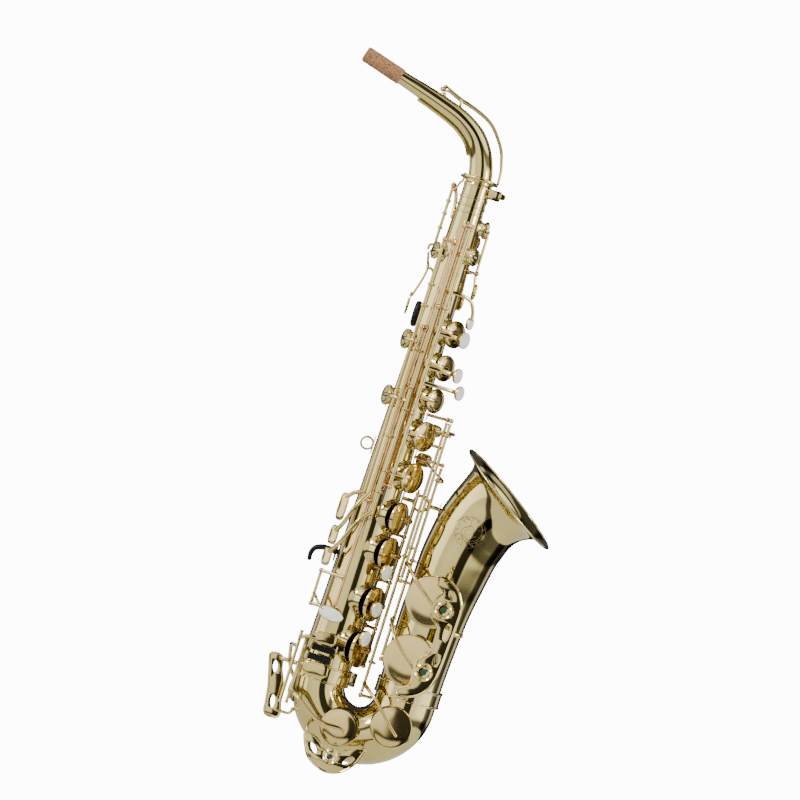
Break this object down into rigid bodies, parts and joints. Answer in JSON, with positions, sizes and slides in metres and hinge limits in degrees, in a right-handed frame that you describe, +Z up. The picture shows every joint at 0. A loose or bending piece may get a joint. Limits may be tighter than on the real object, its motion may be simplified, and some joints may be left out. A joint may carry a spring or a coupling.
{
  "type": "alto saxophone",
  "caption": "Conical brass saxophone with a detachable cork-ended neck, curved bow, flared bell, hinged padded keys on rods, finger pearls, rollers and key guards.",
  "frame": {"origin": "centre of the strap ring, where the neck strap holds the instrument", "axes": "+Z up along the body tube towards the neck, +X from the body tube towards the bell, +Y towards the player's left side"},
  "size_m": [0.3251, 0.1238, 0.6985],
  "materials": {
    "body_brass": "pale lacquered brass, polished, light handling marks",
    "guard_brass": "lacquered sheet brass with cut windows",
    "post_brass": "turned and lacquered brass",
    "key_brass": "lacquered key brass, slightly warmer than the body",
    "steel": "oiled steel hinge rod",
    "cork": "natural sheet cork with dark pits",
    "black_plastic": "moulded black plastic",
    "green_felt": "dense green felt"
  },
  "bodies": {
    "body": {"back_guard": "guard_brass", "bell": "body_brass", "bell_bow_band": "body_brass", "bell_brace": "body_brass", "bell_bumper_lower": "green_felt", "bell_bumper_upper": "green_felt", "bell_key_guard": "guard_brass", "bell_rod_post_bow": "post_brass", "bell_rod_post_lower": "post_brass", "bell_rod_post_middle": "post_brass", "bell_rod_post_top": "post_brass", "bell_rod_post_upper": "post_brass", "body_bow_band": "body_brass", "body_tube": "body_brass", "bow": "body_brass", "low_c_bumper": "green_felt", "low_c_guard": "guard_brass", "lower_stack_posts": "post_brass", "lower_stack_rod": "steel", "neck_receiver": "body_brass", "octave_posts": "post_brass", "palm_key_posts": "post_brass", "side_key_posts": "post_brass", "strap_ring": "body_brass", "thumb_hook": "black_plastic", "thumb_rest": "black_plastic", "upper_stack_posts": "post_brass", "upper_stack_rod": "steel"},
    "neck": {"neck_tube": "body_brass", "neck_cork": "cork", "neck_brace": "body_brass"},
    "c_key": {"c_key": "key_brass"},
    "b_key": {"b_key": "key_brass"},
    "a_key": {"a_key": "key_brass"},
    "g_key": {"g_key": "key_brass"},
    "g_sharp_key": {"g_sharp_key": "key_brass"},
    "f_sharp_key": {"f_sharp_key": "key_brass"},
    "f_key": {"f_key": "key_brass"},
    "e_key": {"e_key": "key_brass"},
    "d_key": {"d_key": "key_brass"},
    "high_f_sharp_key": {"high_f_sharp_key": "key_brass"},
    "front_f_key": {"front_f_key": "key_brass"},
    "side_e_key": {"side_e_key": "key_brass"},
    "side_c_key": {"side_c_key": "key_brass"},
    "side_bb_key": {"side_bb_key": "key_brass"},
    "palm_f_key": {"palm_f_key": "key_brass"},
    "palm_eb_key": {"palm_eb_key": "key_brass"},
    "palm_d_key": {"palm_d_key": "key_brass"},
    "octave_thumb_lever": {"octave_thumb_lever": "key_brass"},
    "octave_rod_key": {"octave_rod_key": "key_brass"},
    "neck_octave_key": {"neck_octave_key": "key_brass"},
    "neck_screw": {"neck_screw": "body_brass"},
    "low_bb_key": {"low_bb_key": "key_brass"},
    "low_b_key": {"low_b_key": "key_brass"},
    "low_c_sharp_key": {"low_c_sharp_key": "key_brass"},
    "low_c_key": {"low_c_key": "key_brass"},
    "trill_f_sharp_key": {"trill_f_sharp_key": "key_brass"},
    "low_eb_key": {"low_eb_key": "key_brass"},
    "low_c_roller": {"low_c_roller": "black_plastic"},
    "low_eb_roller": {"low_eb_roller": "black_plastic"}
  },
  "joints": [
    {"name": "c_key_hinge", "type": "hinge", "parent": "body", "child": "c_key", "pos_m": [0.0345, -0.028, 0.129], "axis": [0, 0, 1], "range_deg": [0, 10], "stiffness_Nm_per_rad": 0.1, "springref_deg": -17.19},
    {"name": "b_key_hinge", "type": "hinge", "parent": "body", "child": "b_key", "pos_m": [0.0345, -0.028, 0.094], "axis": [0, 0, 1], "range_deg": [0, 10], "stiffness_Nm_per_rad": 0.1, "springref_deg": -17.19},
    {"name": "a_key_hinge", "type": "hinge", "parent": "body", "child": "a_key", "pos_m": [0.0345, -0.028, 0.06], "axis": [0, 0, 1], "range_deg": [0, 10], "stiffness_Nm_per_rad": 0.1, "springref_deg": -17.19},
    {"name": "g_key_hinge", "type": "hinge", "parent": "body", "child": "g_key", "pos_m": [0.0345, -0.028, 0.023], "axis": [0, 0, 1], "range_deg": [0, 9], "stiffness_Nm_per_rad": 0.1, "springref_deg": -17.19},
    {"name": "g_sharp_key_hinge", "type": "hinge", "parent": "body", "child": "g_sharp_key", "pos_m": [0.0345, -0.028, -0.02], "axis": [0, 0, 1], "range_deg": [0, 4.5], "stiffness_Nm_per_rad": 0.1, "springref_deg": -17.19},
    {"name": "f_sharp_key_hinge", "type": "hinge", "parent": "body", "child": "f_sharp_key", "pos_m": [0.064, -0.003, -0.062], "axis": [0, 0, 1], "range_deg": [-10, 0], "stiffness_Nm_per_rad": 0.1, "springref_deg": 17.19},
    {"name": "f_key_hinge", "type": "hinge", "parent": "body", "child": "f_key", "pos_m": [0.064, -0.003, -0.099], "axis": [0, 0, 1], "range_deg": [-10, 0], "stiffness_Nm_per_rad": 0.1, "springref_deg": 17.19},
    {"name": "e_key_hinge", "type": "hinge", "parent": "body", "child": "e_key", "pos_m": [0.064, -0.003, -0.151], "axis": [0, 0, 1], "range_deg": [-10, 0], "stiffness_Nm_per_rad": 0.1, "springref_deg": 17.19},
    {"name": "d_key_hinge", "type": "hinge", "parent": "body", "child": "d_key", "pos_m": [0.064, -0.003, -0.197], "axis": [0, 0, 1], "range_deg": [-10, 0], "stiffness_Nm_per_rad": 0.1, "springref_deg": 17.19},
    {"name": "high_f_sharp_key_hinge", "type": "hinge", "parent": "body", "child": "high_f_sharp_key", "pos_m": [0.0345, -0.028, 0.208], "axis": [0, 0, 1], "range_deg": [-10, 0], "stiffness_Nm_per_rad": 0.1, "springref_deg": 17.19},
    {"name": "front_f_key_hinge", "type": "hinge", "parent": "body", "child": "front_f_key", "pos_m": [0.0345, -0.028, 0.168], "axis": [0, 0, 1], "range_deg": [0, 8], "stiffness_Nm_per_rad": 0.1, "springref_deg": -17.19},
    {"name": "side_e_key_hinge", "type": "hinge", "parent": "body", "child": "side_e_key", "pos_m": [0.0125, -0.0215, 0.204], "axis": [0, 0, 1], "range_deg": [0, 10], "stiffness_Nm_per_rad": 0.1, "springref_deg": -17.19},
    {"name": "side_c_key_hinge", "type": "hinge", "parent": "body", "child": "side_c_key", "pos_m": [0.0175, -0.0248, 0.111], "axis": [0, 0, 1], "range_deg": [0, 10], "stiffness_Nm_per_rad": 0.1, "springref_deg": -17.19},
    {"name": "side_bb_key_hinge", "type": "hinge", "parent": "body", "child": "side_bb_key", "pos_m": [0.0255, -0.0272, 0.052], "axis": [0, 0, 1], "range_deg": [0, 10], "stiffness_Nm_per_rad": 0.1, "springref_deg": -17.19},
    {"name": "palm_f_key_hinge", "type": "hinge", "parent": "body", "child": "palm_f_key", "pos_m": [0.05321, 0.00354, 0.194], "axis": [-0.1392, 0.9903, 0], "range_deg": [0, 8], "stiffness_Nm_per_rad": 0.1, "springref_deg": -17.19},
    {"name": "palm_eb_key_hinge", "type": "hinge", "parent": "body", "child": "palm_eb_key", "pos_m": [0.04297, 0.0206, 0.194], "axis": [-0.809, 0.5878, 0], "range_deg": [0, 8], "stiffness_Nm_per_rad": 0.1, "springref_deg": -17.19},
    {"name": "palm_d_key_hinge", "type": "hinge", "parent": "body", "child": "palm_d_key", "pos_m": [0.02358, 0.02507, 0.194], "axis": [-0.9848, -0.1736, 0], "range_deg": [0, 8], "stiffness_Nm_per_rad": 0.1, "springref_deg": -17.19},
    {"name": "octave_lever_hinge", "type": "hinge", "parent": "body", "child": "octave_thumb_lever", "pos_m": [0.005, 0.006, 0.186], "axis": [0, 1, 0], "range_deg": [-6, 0], "stiffness_Nm_per_rad": 0.1, "springref_deg": 17.19},
    {"name": "octave_rod_hinge", "type": "hinge", "parent": "body", "child": "octave_rod_key", "pos_m": [0.0045, 0.006, 0.234], "axis": [0, 0, 1], "range_deg": [-9, 0]},
    {"name": "neck_swivel", "type": "hinge", "parent": "body", "child": "neck", "pos_m": [0.028, 0, 0.274], "axis": [0, 0, 1], "range_deg": [-30, 30]},
    {"name": "neck_octave_hinge", "type": "hinge", "parent": "neck", "child": "neck_octave_key", "pos_m": [-0.013, 0, 0.354], "axis": [0, 1, 0], "range_deg": [0, 1.8]},
    {"name": "neck_screw_turn", "type": "hinge", "parent": "body", "child": "neck_screw", "pos_m": [0.0485, 0, 0.274], "axis": [0, 1, 0], "range_deg": [-90, 90]},
    {"name": "low_bb_key_hinge", "type": "hinge", "parent": "body", "child": "low_bb_key", "pos_m": [0.0735, -0.017, -0.13], "axis": [0, 0, 1], "range_deg": [0, 7], "stiffness_Nm_per_rad": 0.15, "springref_deg": -17.19},
    {"name": "low_b_key_hinge", "type": "hinge", "parent": "body", "child": "low_b_key", "pos_m": [0.0785, -0.0105, -0.192], "axis": [0, 0, 1], "range_deg": [0, 7], "stiffness_Nm_per_rad": 0.15, "springref_deg": -17.19},
    {"name": "low_c_sharp_key_hinge", "type": "hinge", "parent": "body", "child": "low_c_sharp_key", "pos_m": [0.07, -0.0085, -0.261], "axis": [0, 0, 1], "range_deg": [-7, 0], "stiffness_Nm_per_rad": 0.15, "springref_deg": 17.19},
    {"name": "low_c_key_hinge", "type": "hinge", "parent": "body", "child": "low_c_key", "pos_m": [0.0015, -0.0225, -0.236], "axis": [0, 0, 1], "range_deg": [0, 5], "stiffness_Nm_per_rad": 0.15, "springref_deg": -17.19},
    {"name": "trill_f_sharp_key_hinge", "type": "hinge", "parent": "body", "child": "trill_f_sharp_key", "pos_m": [-0.005, -0.013, -0.152], "axis": [0, 0, 1], "range_deg": [0, 8], "stiffness_Nm_per_rad": 0.1, "springref_deg": -17.19},
    {"name": "low_eb_key_hinge", "type": "hinge", "parent": "body", "child": "low_eb_key", "pos_m": [-0.005, -0.013, -0.236], "axis": [0, 0, 1], "range_deg": [0, 6.5], "stiffness_Nm_per_rad": 0.15, "springref_deg": -17.19},
    {"name": "low_c_roller_spin", "type": "hinge", "parent": "low_c_key", "child": "low_c_roller", "pos_m": [0.01951, -0.03462, -0.217], "axis": [0.9962, -0.0872, 0], "continuous": true},
    {"name": "low_eb_roller_spin", "type": "hinge", "parent": "low_eb_key", "child": "low_eb_roller", "pos_m": [0.0205, -0.035, -0.207], "axis": [1, 0, 0], "continuous": true}
  ],
  "couplings": [
    {"joint": "c_key_hinge", "follows": "b_key_hinge", "ratio": 1},
    {"joint": "f_sharp_key_hinge", "follows": "f_key_hinge", "ratio": 1},
    {"joint": "octave_rod_hinge", "follows": "octave_lever_hinge", "ratio": 1.25},
    {"joint": "neck_octave_hinge", "follows": "octave_lever_hinge", "ratio": -0.3}
  ]
}
